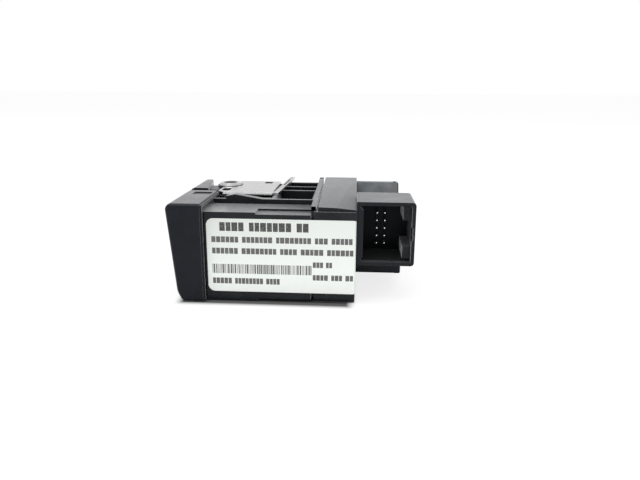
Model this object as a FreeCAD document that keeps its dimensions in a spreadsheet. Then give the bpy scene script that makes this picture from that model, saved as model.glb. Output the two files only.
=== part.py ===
# Electric parking brake switch, lying on its side: +X runs from the front trim to the connector,
# +Y from the labelled side to the far side, and +Z up from the surface that it lies on.
import FreeCAD, Part
import math
import os
import Sketcher

# Driving dimensions, in millimetres and degrees
SIZES = {
    # Front trim: a hollow cap, seen in profile from the labelled side
    "trim_width": 49.5,
    "trim_height": 32.0,
    "trim_depth": 11.2,
    "trim_kink_depth": 8.3,
    "trim_kink_height": 5.5,
    "trim_foot_depth": 6.0,
    "trim_wall": 1.4,
    "trim_block_width": 25.5,
    "trim_corner_round": 2.0,
    "trim_edge_round": 1.0,
    "trim_recess_depth": 0.4,
    "trim_recess_start": 17.0,
    "trim_recess_width": 4.5,
    "trim_recess_rear": 0.7,
    "trim_recess_length": 6.1,
    "trim_rib_wall": 1.0,
    "trim_rib_depth": 2.2,
    "trim_window_near": 8.0,
    "trim_window_width": 6.0,
    "trim_window_rear": 2.4,
    "trim_window_length": 2.6,
    # Main housing: a moulded shell with a ribbed upper side
    "side_step": 2.0,
    "housing_rise": 0.5,
    "housing_start": 0.8,
    "housing_length": 33.5,
    "housing_wall": 1.6,
    "deck_height": 29.3,
    "rail_height": 30.9,
    "rail_start": 15.7,
    "rail_wall": 1.2,
    "ledge_start": 17.0,
    "ledge_width": 6.0,
    "ledge_drop": 0.6,
    "first_rib": 32.7,
    "second_rib": 40.8,
    "far_rim_wall": 1.5,
    "far_rim_height": 31.6,
    "clip_bay_start": 8.8,
    "clip_bay_end": 20.0,
    "clip_bay_floor": 25.5,
    "rib_bay_start": 21.2,
    "rib_bay_floor": 24.5,
    "latch_bay_end": 5.0,
    "ramp_peak": 32.4,
    "ramp_front": 31.8,
    "ramp_peak_run": 3.0,
    "ramp_length": 12.0,
    "ramp_width": 2.7,
    "flange_wall": 1.5,
    "flange_height": 31.2,
    "flange_near": 3.5,
    "flange_tip_height": 33.5,
    "flange_tip_width": 2.4,
    "chamber_height": 23.0,
    "chamber_front_floor": 4.8,
    "board_bay_width": 22.8,
    "spigot_length": 3.5,
    "spigot_wall": 1.3,
    "neck_gap": 0.3,
    "neck_wall": 1.3,
    "lug_height": 0.8,
    "rear_snap_width": 5.0,
    # Pivot of the pull lever
    "pivot_depth": 1.0,
    "pivot_across": 38.5,
    "pin_radius": 2.0,
    "pin_head_radius": 2.5,
    "pin_head_height": 0.7,
    "pivot_clearance": 0.05,
    "seat_clearance": 0.02,
    "column_radius": 3.6,
    "turret_radius": 5.2,
    "turret_height": 5.4,
    "spring_wire": 0.8,
    "spring_radius": 3.2,
    "spring_pitch": 0.95,
    "spring_turns": 3.0,
    "spring_clearance": 0.35,
    # Pull lever
    "lever_near": 29.0,
    "lever_far": 48.6,
    "lever_rise": 0.4,
    "lever_root": 5.3,
    "lever_tip": 2.0,
    "lever_nose": 1.1,
    "lever_nose_step": 1.7,
    "lever_nose_thickness": 4.0,
    "lever_edge_round": 0.8,
    "cheek_height": 1.7,
    "cheek_gap": 0.5,
    "cheek_near": 31.0,
    "cheek_far": 43.0,
    "boss_radius": 4.8,
    "boss_top": 32.2,
    "arm_low": 10.8,
    "arm_height": 4.4,
    "arm_near": 29.6,
    "arm_width": 3.0,
    "tip_depth": 4.8,
    "tip_across": 28.5,
    "tip_radius": 1.4,
    "pull_angle": 9.0,
    "push_angle": 5.0,
    # Contact slide that the lever's arm drives along the board
    "slide_start": 3.6,
    "slide_length": 12.4,
    "slide_low": 8.1,
    "slide_height": 9.8,
    "slide_thickness": 4.2,
    "slide_tongue": 0.9,
    "slide_tongue_width": 1.2,
    "slide_clearance": 0.2,
    "slide_travel_out": 2.4,
    "fork_clearance": 0.12,
    "fork_depth": 3.6,
    "wiper_gap": 0.55,
    "wiper_thickness": 0.3,
    "wiper_width": 2.2,
    "wiper_length": 8.0,
    # Circuit board and what it carries
    "board_near": 23.0,
    "board_thickness": 1.6,
    "board_start": 3.4,
    "board_edge_gap": 0.4,
    "board_end_gap": 0.3,
    "board_rear_low": 6.4,
    "board_rear_high": 29.2,
    "chip_size": 7.0,
    "chip_height": 1.6,
    "chip_start": 22.0,
    "chip_low": 10.0,
    "led_size": 2.4,
    "led_low": 14.8,
    # Light path of the telltale in the trim
    "guide_radius": 1.2,
    "guide_clearance": 0.15,
    "telltale_radius": 1.9,
    "telltale_thickness": 1.3,
    "telltale_inset": 0.25,
    # Symbol lens in the lever
    "symbol_width": 9.0,
    "symbol_thickness": 1.2,
    "symbol_height": 16.0,
    "symbol_inset": 0.15,
    # Rear cover: the collar around the housing's end and the board box behind it
    "collar_start": 35.35,
    "collar_end": 48.3,
    "collar_height": 29.8,
    "collar_wall": 1.3,
    "collar_corner_round": 1.6,
    "collar_clearance": 0.15,
    "pad_start": 36.5,
    "pad_near": 3.0,
    "pad_front_height": 31.1,
    "pad_middle_height": 30.95,
    "pad_rear_height": 30.35,
    "pad_middle": 42.0,
    "collar_flange_near": 46.6,
    "collar_far": 49.0,
    "box_near": 21.5,
    "box_low": 4.5,
    "box_end": 63.0,
    "box_high": 30.5,
    "box_step": 30.0,
    "box_rear_high": 28.0,
    "box_wall": 1.4,
    "box_fin_wall": 2.5,
    "box_fin_height": 31.6,
    "box_round": 0.8,
    # Connector
    "shroud_start": 49.0,
    "shroud_end": 66.6,
    "shroud_low": 12.8,
    "shroud_high": 33.0,
    "shroud_near": 3.0,
    "shroud_floor": 18.6,
    "shroud_back": 20.2,
    "shroud_wall": 1.1,
    "shroud_corner_round": 1.1,
    "shroud_left_wall": 1.5,
    "header_foot_margin": 3.0,
    "key_depth": 2.6,
    "key_height": 3.8,
    "key_setback": 1.6,
    "key_margin": 1.0,
    "notch_depth": 0.5,
    "notch_height": 4.4,
    "relief_radius": 0.7,
    "pin_pitch": 2.54,
    "pin_square": 0.64,
    "pin_tip": 14.0,
    "pin_tail": 26.0,
    "pin_column": 55.15,
    "pin_low": 17.24,
    "pin_hole_margin": 0.12,
    # Steel retaining clip
    "clip_thickness": 0.9,
    "clip_start": 1.0,
    "clip_near": 22.0,
    "clip_far": 47.3,
    "clip_lip_drop": 0.9,
    "clip_boss_gap": 0.7,
    "clip_slot_start": 13.6,
    "clip_slot_length": 3.4,
    "clip_slot_near": 42.4,
    "clip_slot_width": 3.2,
    "clip_eye_width": 2.6,
    "clip_eye_near": 27.2,
    "clip_eye_length": 3.4,
    "tongue_gap": 0.8,
    "tongue_width": 2.0,
    "tongue_root": 26.0,
    "tongue_bridge": 4.0,
    "tongue_tip": 47.0,
    "tongue_rise": 2.6,
    # Paper label on the near side
    "label_start": 2.2,
    "label_low": 4.0,
    "label_high": 27.8,
    "label_thickness": 0.12,
    "label_corner_round": 2.2,
    "label_wrap": 1.5,
}
PIN_ROWS = 5
PIN_COLUMNS = 2
AXIS_OF = {"X": FreeCAD.Vector(1, 0, 0), "Y": FreeCAD.Vector(0, 1, 0), "Z": FreeCAD.Vector(0, 0, 1)}

doc = FreeCAD.newDocument("ParkingBrakeSwitch")
sheet = doc.addObject("Spreadsheet::Sheet", "Sizes")
for row, (alias, number) in enumerate(SIZES.items(), start=1):
    sheet.set(f"A{row}", alias)
    sheet.set(f"B{row}", str(number))
    sheet.setAlias(f"B{row}", alias)
doc.recompute()


class Size:
    """A cell of the sheet, or a sum of cells, as a number and as the text of an expression."""

    def __init__(self, number, text):
        self.number = number
        self.text = text

    def __add__(self, other):
        other = as_size(other)
        return Size(self.number + other.number, f"({self.text} + {other.text})")

    def __sub__(self, other):
        other = as_size(other)
        return Size(self.number - other.number, f"({self.text} - {other.text})")

    def __mul__(self, other):
        other = as_size(other)
        return Size(self.number * other.number, f"({self.text} * {other.text})")

    def __truediv__(self, other):
        other = as_size(other)
        return Size(self.number / other.number, f"({self.text} / {other.text})")

    def __radd__(self, other):
        return as_size(other) + self

    def __rsub__(self, other):
        return as_size(other) - self

    def __rmul__(self, other):
        return as_size(other) * self

    def __neg__(self):
        return as_size(0) - self

    def square_root(self):
        return Size(math.sqrt(self.number), f"sqrt({self.text})")


def as_size(value):
    return value if isinstance(value, Size) else Size(float(value), repr(float(value)))


class Cells:
    """Gives each cell of the sheet by its alias."""

    def __getattr__(self, alias):
        return Size(SIZES[alias], f"Sizes.{alias}")


s = Cells()

# Places that several pieces share
trim_slope = (s.trim_depth - s.trim_kink_depth) / (s.trim_height - s.trim_kink_height)
corner_loss = trim_slope + (trim_slope * trim_slope + 1).square_root() - 1
trim_nose = s.trim_depth - s.trim_corner_round * corner_loss
row_x = (s.shroud_end - trim_nose) / 2
row_y = s.collar_far / 2
near_side = s.side_step
far_side = s.trim_width - s.side_step
housing_end = s.housing_start + s.housing_length
flange_end = housing_end + s.flange_wall
pivot_x = s.housing_start + s.pivot_depth
inner_near = near_side + s.housing_wall
inner_far = far_side - s.far_rim_wall
inner_floor = s.housing_rise + s.housing_wall
board_far = s.board_near + s.board_thickness
cheek_top_low = s.deck_height - s.cheek_gap + 0.1
cheek_base_high = s.housing_rise + 0.2 + s.cheek_height + 0.6
clip_low = s.rail_height
clip_high = s.rail_height + s.clip_thickness
slide_near = board_far + s.wiper_gap + s.wiper_thickness
board_step = s.collar_end - s.collar_wall - s.board_end_gap
board_rise = s.collar_end - s.collar_wall + s.board_end_gap
board_end = s.box_end - s.box_wall - s.board_end_gap
neck_front = s.trim_wall + s.trim_rib_depth - s.trim_kink_depth + s.neck_gap
light_y = s.board_near - s.led_size / 2
light_z = s.led_low + s.led_size / 2
lens_face = (light_z - s.trim_kink_height) * (trim_slope * -1.0) - s.trim_kink_depth
label_near = near_side - s.label_thickness


def circle(x, y, radius):
    return ("circle", as_size(x), as_size(y), as_size(radius))


def polygon(*points):
    return ("polygon", [(as_size(x), as_size(y)) for x, y in points])


def rectangle(x_low, x_high, y_low, y_high):
    return polygon((x_low, y_low), (x_high, y_low), (x_high, y_high), (x_low, y_high))


def pin_point(sketch, edge, vertex, x, y):
    """Ties one vertex of a sketch to its place by two dimensions from the origin."""
    for kind, value in (("DistanceX", x), ("DistanceY", y)):
        index = sketch.addConstraint(Sketcher.Constraint(kind, -1, 1, edge, vertex, value.number))
        sketch.setExpression(f"Constraints[{index}]", value.text)


def draw(sketch, loop):
    if loop[0] == "circle":
        x, y, radius = loop[1:]
        centre = FreeCAD.Vector(x.number, y.number, 0)
        edge = sketch.addGeometry(Part.Circle(centre, AXIS_OF["Z"], radius.number))
        pin_point(sketch, edge, 3, x, y)
        index = sketch.addConstraint(Sketcher.Constraint("Radius", edge, radius.number))
        sketch.setExpression(f"Constraints[{index}]", radius.text)
        return
    points = loop[1]
    places = [FreeCAD.Vector(x.number, y.number, 0) for x, y in points]
    edges = []
    for here, there in zip(places, places[1:] + places[:1]):
        edges.append(sketch.addGeometry(Part.LineSegment(here, there)))
    for edge, following in zip(edges, edges[1:] + edges[:1]):
        sketch.addConstraint(Sketcher.Constraint("Coincident", edge, 2, following, 1))
    for edge, (x, y) in zip(edges, points):
        pin_point(sketch, edge, 1, x, y)


def new_body(name):
    body = doc.addObject("PartDesign::Body", name)
    body.Label = name
    return body


def place(piece, x=0.0, y=0.0, z=0.0):
    """Puts a piece drawn from the trim's near rear edge into the shared frame."""
    piece.setExpression("Placement.Base.x", (x - row_x).text)
    piece.setExpression("Placement.Base.y", (y - row_y).text)
    piece.setExpression("Placement.Base.z", as_size(z).text)


def new_sketch(body, name, plane, loops, offset):
    support = [item for item in body.Origin.OriginFeatures if item.Role == f"{plane}_Plane"][0]
    sketch = body.newObject("Sketcher::SketchObject", name)
    sketch.AttachmentSupport = (support, "")
    sketch.MapMode = "FlatFace"
    offset = -as_size(offset) if plane == "XZ" else as_size(offset)
    sketch.setExpression("AttachmentOffset.Base.z", offset.text)
    for loop in loops:
        draw(sketch, loop)
    return sketch


def pad(body, name, plane, loop, low, high):
    """Adds the loop's prism from low to high along the plane's positive axis."""
    loops = loop if isinstance(loop, list) else [loop]
    feature = body.newObject("PartDesign::Pad", name)
    feature.Profile = new_sketch(body, f"{name}Sketch", plane, loops, low)
    feature.setExpression("Length", (as_size(high) - low).text)
    feature.Reversed = plane == "XZ"
    body.Tip = feature
    return feature


def pocket(body, name, plane, loop, low, high):
    """Cuts the loop's prism from low to high along the plane's positive axis."""
    loops = loop if isinstance(loop, list) else [loop]
    feature = body.newObject("PartDesign::Pocket", name)
    feature.Profile = new_sketch(body, f"{name}Sketch", plane, loops, low)
    feature.setExpression("Length", (as_size(high) - low).text)
    feature.Reversed = plane != "XZ"
    body.Tip = feature
    return feature


def straight_edges(shape, axis, accept):
    """Names the straight edges along an axis whose middle point is accepted."""
    names = []
    for number, edge in enumerate(shape.Edges, start=1):
        if edge.Curve.TypeId != "Part::GeomLine":
            continue
        along = edge.tangentAt(edge.FirstParameter).dot(AXIS_OF[axis])
        if abs(abs(along) - 1) < 1e-4 and accept(edge.CenterOfMass):
            names.append(f"Edge{number}")
    return names


def face_edges(shape, axis, level, accept):
    """Names the edges that lie in the plane at a level of an axis and are accepted."""
    names = []
    for number, edge in enumerate(shape.Edges, start=1):
        box = edge.BoundBox
        low = getattr(box, f"{axis}Min")
        high = getattr(box, f"{axis}Max")
        if abs(low - level) < 1e-3 and abs(high - level) < 1e-3 and accept(edge.CenterOfMass):
            names.append(f"Edge{number}")
    return names


def round_edges(body, name, radius, choose):
    """Rounds the edges that choose() names on the body's shape so far."""
    doc.recompute()
    base = body.Tip
    feature = body.newObject("PartDesign::Fillet", name)
    feature.Base = (base, choose(base.Shape))
    feature.setExpression("Radius", radius.text)
    body.Tip = feature
    return feature


def bevel_edges(body, name, size, choose):
    doc.recompute()
    base = body.Tip
    feature = body.newObject("PartDesign::Chamfer", name)
    feature.Base = (base, choose(base.Shape))
    feature.setExpression("Size", size.text)
    body.Tip = feature
    return feature


def close_to(value, size):
    return abs(value - as_size(size).number) < 0.02


def trim_outline(inset, rear):
    """The trim's profile seen from the near side, drawn in by an inset."""
    return polygon(
        (rear, inset),
        (inset - s.trim_foot_depth, inset),
        (inset - s.trim_kink_depth, s.trim_kink_height),
        (inset - s.trim_depth, s.trim_height - inset),
        (rear, s.trim_height - inset),
    )


def make_front_trim():
    body = new_body("front_trim")
    pad(body, "Cap", "XZ", trim_outline(0, 0), 0, s.trim_block_width)

    def front_corners(shape):
        return straight_edges(
            shape, "Y",
            lambda at: at.x < -1 and (close_to(at.z, 0) or close_to(at.z, s.trim_height)),
        )

    round_edges(body, "FrontCorners", s.trim_corner_round, front_corners)

    def side_rims(shape):
        names = []
        for level in (0, SIZES["trim_block_width"]):
            names += face_edges(shape, "Y", level, lambda at: at.x < -1)
        return names

    round_edges(body, "SideRims", s.trim_edge_round, side_rims)
    pocket(
        body, "Hollow", "XZ", trim_outline(s.trim_wall, 0),
        s.trim_wall, s.trim_block_width - s.trim_wall,
    )
    recess_front = -s.trim_recess_rear - s.trim_recess_length
    pocket(
        body, "Recess", "XY",
        rectangle(
            recess_front, -s.trim_recess_rear,
            s.trim_recess_start, s.trim_recess_start + s.trim_recess_width,
        ),
        s.trim_height - s.trim_recess_depth, s.trim_height,
    )
    window = rectangle(
        -s.trim_window_rear - s.trim_window_length, -s.trim_window_rear,
        s.trim_window_near, s.trim_window_near + s.trim_window_width,
    )
    pocket(body, "LowerWindow", "XY", window, 0, s.trim_wall)
    pocket(
        body, "TelltaleHole", "YZ",
        circle(light_y, light_z, s.telltale_radius + s.guide_clearance),
        -s.trim_depth, s.trim_wall + s.trim_rib_depth - s.trim_kink_depth,
    )
    for number, level in enumerate((s.trim_height / 3, s.trim_height * 2 / 3), start=1):
        pad(
            body, f"Rib{number}", "XY",
            rectangle(
                s.trim_wall - s.trim_kink_depth - 1.2,
                s.trim_wall + s.trim_rib_depth - s.trim_kink_depth,
                s.trim_wall, light_y - s.telltale_radius - s.trim_rib_wall,
            ),
            level, level + s.trim_rib_wall,
        )
    place(body)
    return body


def make_main_housing():
    body = new_body("main_housing")
    start = s.housing_start
    pad(body, "Block", "XY", rectangle(start, housing_end, near_side, far_side),
        s.housing_rise, s.deck_height)
    pad(body, "Deck", "XY", rectangle(start, housing_end, s.rail_start, far_side),
        s.deck_height, s.rail_height)
    pad(body, "FarRim", "XY", rectangle(s.rib_bay_start, housing_end, inner_far, far_side),
        s.rail_height, s.far_rim_height)
    pad(body, "Ramp", "XZ",
        polygon(
            (s.latch_bay_end, s.deck_height),
            (s.latch_bay_end + s.ramp_length, s.deck_height),
            (s.latch_bay_end + s.ramp_length, s.rail_height),
            (s.latch_bay_end + s.ramp_peak_run, s.ramp_peak),
            (s.latch_bay_end, s.ramp_front),
        ),
        s.rail_start, s.rail_start + s.ramp_width)
    pad(body, "Flange", "YZ",
        polygon(
            (s.flange_near, s.collar_height + 0.1),
            (s.collar_far - 0.3, s.collar_height + 0.1),
            (s.collar_far - 0.3, s.flange_tip_height),
            (s.collar_far - 0.3 - s.flange_tip_width, s.flange_tip_height),
            (s.collar_far - 0.3 - s.flange_tip_width * 1.6, s.flange_height),
            (s.flange_near, s.flange_height),
        ),
        housing_end, flange_end)
    pad(body, "FlangeFoot", "YZ",
        rectangle(s.flange_near, far_side, s.deck_height - s.spigot_wall, s.collar_height + 0.1),
        housing_end, s.collar_start - s.collar_clearance)
    # Neck that enters the trim, and spigot that enters the rear cover
    neck_inset = s.trim_wall + 0.6
    pad(body, "Neck", "YZ",
        rectangle(neck_inset + 0.4, s.trim_block_width - neck_inset,
                  neck_inset, s.trim_height - neck_inset - 0.8),
        neck_front, start)
    spigot = s.collar_wall + s.collar_clearance
    pad(body, "Spigot", "YZ",
        rectangle(near_side + spigot, s.collar_flange_near - s.collar_clearance,
                  s.collar_wall + s.collar_clearance + 0.3,
                  s.collar_height - s.collar_wall - s.collar_clearance),
        housing_end, housing_end + s.spigot_length)
    # Steps of the near and lower sides
    ledge = s.ledge_start
    pocket(body, "NearLedge", "XY",
           rectangle(ledge, housing_end, near_side, near_side + s.ledge_width),
           s.deck_height - s.ledge_drop, s.deck_height)
    pocket(body, "LowerStep", "XY", rectangle(ledge, housing_end, near_side, far_side),
           s.housing_rise, s.housing_rise + s.ledge_drop)
    # Bays of the ribbed upper side
    bays = (
        (s.rail_start + s.rail_wall, s.first_rib),
        (s.first_rib + s.rail_wall, s.second_rib),
        (s.second_rib + s.rail_wall, inner_far),
    )
    for number, (bay_near, bay_far) in enumerate(bays, start=1):
        clip_bay_near = s.rail_start + s.ramp_width if number == 1 else bay_near
        pocket(body, f"ClipBay{number}", "XY",
               rectangle(s.clip_bay_start, s.clip_bay_end, clip_bay_near, bay_far),
               s.clip_bay_floor, s.rail_height)
        pocket(body, f"RibBay{number}", "XY",
               rectangle(s.rib_bay_start, housing_end - 0.7, bay_near, bay_far),
               s.rib_bay_floor, s.rail_height)
    pocket(body, "LatchBay", "XY",
           rectangle(start, s.latch_bay_end, s.rail_start + s.rail_wall, s.trim_block_width + 0.5),
           s.rib_bay_floor, s.rail_height)
    # Room for the lever's two cheeks
    cheek_bay = rectangle(start, s.clip_bay_start, s.trim_block_width + 0.5, far_side)
    pocket(body, "UpperCheekBay", "XY", cheek_bay, s.deck_height - 0.9, s.rail_height)
    pocket(body, "LowerCheekBay", "XY", cheek_bay, s.housing_rise, cheek_base_high + 0.3)
    # Inner chamber, with the board's bay along the near side
    split = s.board_bay_width + near_side
    pocket(body, "BoardBay", "YZ",
           rectangle(inner_near, split, inner_floor, s.chamber_height),
           start + s.housing_wall, housing_end + s.spigot_length)
    pocket(body, "RearChamber", "YZ",
           rectangle(split, inner_far, inner_floor, s.chamber_height),
           s.clip_bay_start + s.housing_wall, housing_end + s.spigot_length)
    pocket(body, "FrontChamber", "YZ",
           rectangle(split, inner_far, s.chamber_front_floor, s.chamber_height),
           start + s.housing_wall, s.clip_bay_start + s.housing_wall)
    # Pivot column with the spring's turret
    column = circle(pivot_x, s.pivot_across, s.column_radius)
    pad(body, "Column", "XY", column, cheek_base_high + 0.3, s.deck_height - 0.9)
    turret_low = s.deck_height - 0.9 - s.turret_height
    pad(body, "Turret", "XY", circle(pivot_x, s.pivot_across, s.turret_radius),
        turret_low, s.deck_height - 0.9)
    spring_well = s.spring_radius + s.spring_wire / 2 + s.spring_clearance
    pocket(body, "SpringWell", "XY", circle(pivot_x, s.pivot_across, spring_well),
           turret_low + s.housing_wall, s.deck_height - 0.9)
    pocket(body, "PinBore", "XY",
           circle(pivot_x, s.pivot_across, s.pin_radius + s.seat_clearance),
           s.housing_rise, s.rail_height)
    # Window for the lever's arm, and the light guide's hole
    arm_room = 1.6
    pocket(body, "ArmWindow", "YZ",
           rectangle(s.tip_across - 2.4, s.arm_near + s.arm_width + arm_room,
                     s.arm_low - 0.5, s.arm_low + s.arm_height + 0.5),
           start - 0.5, start + s.housing_wall + 0.2)
    neck_back = start + s.housing_wall
    pocket(body, "NeckHollow", "YZ",
           rectangle(neck_inset + 0.4 + s.neck_wall, s.trim_block_width - neck_inset - s.neck_wall,
                     neck_inset + s.neck_wall, s.trim_height - neck_inset - 0.8 - s.neck_wall),
           neck_front, start)
    pocket(body, "LightHole", "YZ", circle(light_y, light_z, s.guide_radius + s.guide_clearance),
           neck_front, neck_back)
    # Lug that snaps into the trim's window
    pad(body, "TrimLug", "XY",
        rectangle(
            -s.trim_window_rear - s.trim_window_length + 0.5, -s.trim_window_rear - 0.3,
            s.trim_window_near + 0.3, s.trim_window_near + s.trim_window_width - 0.3,
        ),
        s.trim_wall - 0.9, neck_inset)
    # Guides of the contact slide, one on the floor and one under the ceiling
    slide_far = slide_near + s.slide_thickness
    guide_x = (s.slide_start - 0.8, s.slide_start + s.slide_length + s.slide_travel_out)
    groove_near = slide_near + (s.slide_thickness - s.slide_tongue_width) / 2 - s.slide_clearance
    groove_far = groove_near + s.slide_tongue_width + 2 * s.slide_clearance
    low_face = s.slide_low - s.slide_clearance
    high_face = s.slide_low + s.slide_height + s.slide_clearance
    guide_near = groove_near - 1.0
    guide_far = slide_far + 0.4
    pad(body, "LowerGuide", "XY", rectangle(*guide_x, guide_near, guide_far), inner_floor, low_face)
    pad(body, "UpperGuide", "XY", rectangle(*guide_x, guide_near, guide_far),
        high_face, s.chamber_height)
    groove = rectangle(*guide_x, groove_near, groove_far)
    groove_depth = s.slide_tongue + s.slide_clearance
    pocket(body, "LowerGroove", "XY", groove, low_face - groove_depth, low_face)
    pocket(body, "UpperGroove", "XY", groove, high_face, high_face + groove_depth)
    # Rails that hold the board's two long edges
    rail_gap = 0.1
    board_low = inner_floor + s.board_edge_gap
    board_high = s.chamber_height - s.board_edge_gap
    for number, (rail_near, rail_far) in enumerate((
            (s.board_near - rail_gap - 0.9, s.board_near - rail_gap),
            (board_far + rail_gap, board_far + rail_gap + 0.45)), start=1):
        rail = rectangle(s.board_start, housing_end, rail_near, rail_far)
        pad(body, f"LowerBoardRail{number}", "XY", rail, inner_floor, board_low + 0.8)
        pad(body, f"UpperBoardRail{number}", "XY", rail, board_high - 0.8, s.chamber_height)
    place(body)
    return body


def make_pivot_pin():
    pin = doc.addObject("Part::Cylinder", "PinShank")
    pin.setExpression("Radius", s.pin_radius.text)
    low = s.housing_rise + 0.2
    pin.setExpression("Height", (s.boss_top - 0.3 - low).text)
    head = doc.addObject("Part::Cylinder", "PinHead")
    head.setExpression("Radius", s.pin_head_radius.text)
    head.setExpression("Height", s.pin_head_height.text)
    head.setExpression("Placement.Base.z", (s.boss_top - 0.3 - low - s.pin_head_height).text)
    whole = doc.addObject("Part::Fuse", "pivot_pin")
    whole.Label = "pivot_pin"
    whole.Base = pin
    whole.Tool = head
    place(whole, pivot_x, s.pivot_across, low)
    return whole


def make_return_spring():
    """A torsion spring: a coil about the pin with two straight legs."""
    body = new_body("return_spring")
    wire = s.spring_wire / 2
    coil = body.newObject("PartDesign::AdditiveHelix", "Coil")
    coil.Profile = new_sketch(body, "WireSection", "XZ", [circle(s.spring_radius, wire, wire)], 0)
    coil.ReferenceAxis = (coil.Profile[0] if isinstance(coil.Profile, tuple) else coil.Profile,
                          ["V_Axis"])
    coil.Mode = "pitch-turns-angle"
    coil.setExpression("Pitch", s.spring_pitch.text)
    coil.setExpression("Turns", s.spring_turns.text)
    body.Tip = coil
    well_floor = s.deck_height - 0.9 - s.turret_height + s.housing_wall
    place(body, pivot_x, s.pivot_across, well_floor + 0.05)
    return body


def make_pull_lever():
    body = new_body("pull_lever")
    low = s.lever_rise
    high = s.trim_height

    def section(front, back):
        return polygon(
            (front - s.trim_foot_depth, low),
            (front - s.trim_kink_depth, s.trim_kink_height),
            (front - s.trim_depth, high),
            (back - s.trim_depth, high),
            (back - s.trim_kink_depth, s.trim_kink_height),
            (back - s.trim_foot_depth, low),
        )

    spare = s.lever_root + 1.0
    pad(body, "Paddle", "XZ", section(0, spare), s.lever_near, s.lever_far)

    def front_corners(shape):
        return straight_edges(
            shape, "Y",
            lambda at: at.x < -5.5 and (close_to(at.z, high) or close_to(at.z, low)),
        )

    round_edges(body, "FrontCorners", s.trim_corner_round, front_corners)

    def far_rim(shape):
        return face_edges(shape, "Y", SIZES["lever_far"], lambda at: at.x < -3.0)

    round_edges(body, "FarRim", s.lever_edge_round, far_rim)
    # The back slants, so that the paddle thins from its root to the lip that a finger pulls
    scoop = body.newObject("PartDesign::SubtractiveLoft", "Scoop")
    beyond = spare + 1.0
    scoop.Profile = new_sketch(body, "ScoopRoot", "XZ", [section(s.lever_root, beyond)],
                               s.lever_near)
    scoop.Sections = [new_sketch(body, "ScoopTip", "XZ", [section(s.lever_tip, beyond)],
                                 s.lever_far)]
    scoop.Ruled = True
    body.Tip = scoop
    step = s.lever_nose_step
    nose_back = s.lever_nose_thickness
    pad(body, "Nose", "XZ",
        polygon(
            (-s.trim_foot_depth - 0.6, low + step),
            (0.4 - s.trim_kink_depth, s.trim_kink_height),
            (0.4 - s.trim_depth, high - step),
            (nose_back - s.trim_depth, high - step),
            (nose_back - s.trim_kink_depth, s.trim_kink_height),
            (nose_back - s.trim_foot_depth - 0.6, low + step),
        ),
        s.lever_near - s.lever_nose, s.lever_near)
    # Two cheeks that carry the paddle on the pin
    root_x = 2.2 - s.trim_kink_depth
    cheek = polygon(
        (root_x, s.cheek_near),
        (pivot_x + 1.5, s.pivot_across - s.boss_radius + 0.3),
        (pivot_x + 1.5, s.pivot_across + s.boss_radius - 0.3),
        (root_x, s.cheek_far),
    )
    upper_cheek = polygon(
        (root_x - 2.4, s.cheek_near),
        (pivot_x + 1.5, s.pivot_across - s.boss_radius + 0.3),
        (pivot_x + 1.5, s.pivot_across + s.boss_radius - 0.3),
        (root_x - 2.4, s.cheek_far),
    )
    boss = circle(pivot_x, s.pivot_across, s.boss_radius)
    base_low = s.housing_rise + 0.2
    pad(body, "UpperCheek", "XY", upper_cheek, cheek_top_low, cheek_top_low + s.cheek_height)
    pad(body, "UpperBoss", "XY", boss, cheek_top_low, s.boss_top)
    pad(body, "LowerCheek", "XY", cheek, base_low, cheek_base_high)
    pad(body, "LowerBoss", "XY", boss, base_low, cheek_base_high)
    # Arm that reaches through the housing's wall to the contact slide
    pad(body, "Arm", "XY",
        polygon(
            (root_x, s.arm_near),
            (s.tip_depth, s.arm_near - 0.4),
            (s.tip_depth, s.arm_near + s.arm_width - 1.4),
            (root_x, s.arm_near + s.arm_width + 1.0),
        ),
        s.arm_low, s.arm_low + s.arm_height)
    pad(body, "ArmTip", "XY", circle(s.tip_depth, s.tip_across, s.tip_radius),
        s.arm_low, s.arm_low + s.arm_height)
    bore = circle(pivot_x, s.pivot_across, s.pin_radius + s.pivot_clearance)
    pocket(body, "Bore", "XY", bore, base_low, s.boss_top)
    pocket(body, "HeadBore", "XY",
           circle(pivot_x, s.pivot_across, s.pin_head_radius + s.pivot_clearance),
           s.boss_top - 0.3 - s.pin_head_height - 0.1, s.boss_top)
    # Seat of the symbol lens, open to the front
    half = s.symbol_width / 2
    middle = (s.lever_near + s.lever_far) / 2
    front = symbol_front()
    pocket(body, "SymbolSeat", "YZ",
           rectangle(middle - half - 0.05, middle + half + 0.05,
                     s.symbol_height - half - 0.05, s.symbol_height + half + 0.05),
           -s.trim_depth, front + s.symbol_thickness)
    place(body)
    return body


def symbol_front():
    """How far back the lens face stands, level with the lever's face at the lens's middle."""
    return (s.symbol_height - s.trim_kink_height) * (trim_slope * -1.0) - s.trim_kink_depth


def make_symbol_lens():
    body = new_body("symbol_lens")
    half = s.symbol_width / 2
    middle = (s.lever_near + s.lever_far) / 2
    front = symbol_front()
    lean = trim_slope * half
    pad(body, "Lens", "XZ",
        polygon(
            (front + lean, s.symbol_height - half),
            (front + s.symbol_thickness, s.symbol_height - half),
            (front + s.symbol_thickness, s.symbol_height + half),
            (front - lean, s.symbol_height + half),
        ),
        middle - half, middle + half)
    place(body)
    return body


def make_telltale_lens():
    """A round lens with a flange behind the trim's face."""
    body = new_body("telltale_lens")
    front = lens_face + s.telltale_inset
    pad(body, "Window", "YZ", circle(light_y, light_z, s.telltale_radius), front,
        front + s.telltale_thickness)
    place(body)
    return body


def make_light_guide():
    body = new_body("light_guide")
    front = lens_face + s.telltale_inset
    pad(body, "Rod", "YZ", circle(light_y, light_z, s.guide_radius), front + s.telltale_thickness,
        s.board_start - 0.1)
    place(body)
    return body


def make_indicator_led():
    body = new_body("indicator_led")
    near = s.board_near - s.led_size
    pad(body, "Case", "XY", rectangle(s.board_start, s.board_start + s.led_size, near, s.board_near),
        s.led_low, s.led_low + s.led_size)
    place(body)
    return body


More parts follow.
